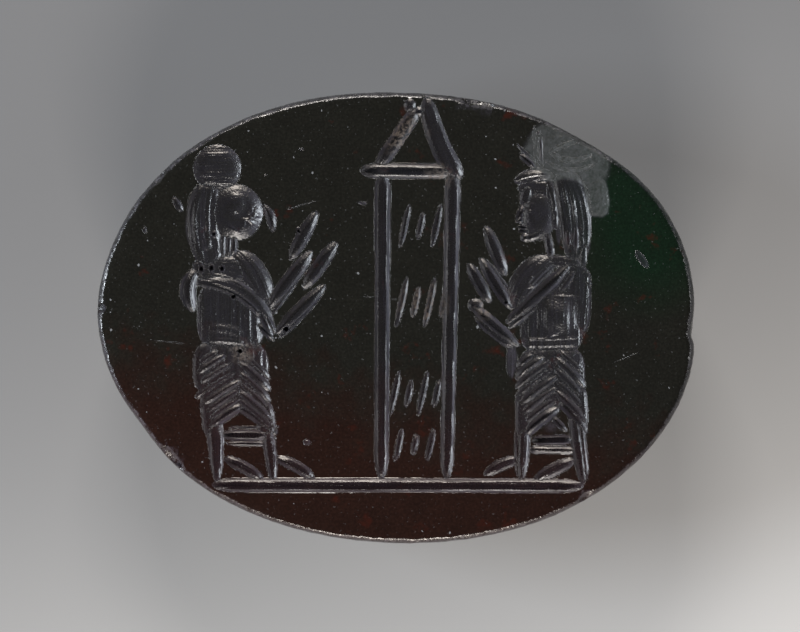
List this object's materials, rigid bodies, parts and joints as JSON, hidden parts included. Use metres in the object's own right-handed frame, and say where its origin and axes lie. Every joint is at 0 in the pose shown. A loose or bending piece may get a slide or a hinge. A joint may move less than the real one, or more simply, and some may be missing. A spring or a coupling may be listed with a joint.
{
  "type": "engraved gem",
  "caption": "Oval dark stone gem, flat face cut with a gabled shrine between two standing figures, chipped bevelled rim, plain flat back.",
  "frame": {"origin": "middle of the flat back, under the middle of the oval", "axes": "+Z out of the engraved face, +X along the oval to the right of the design, +Y up the design"},
  "size_m": [0.017, 0.0128, 0.003],
  "materials": {
    "bloodstone": "polished face with frosted engraving"
  },
  "bodies": {
    "root": {"engraved_gem": "bloodstone"}
  },
  "joints": []
}
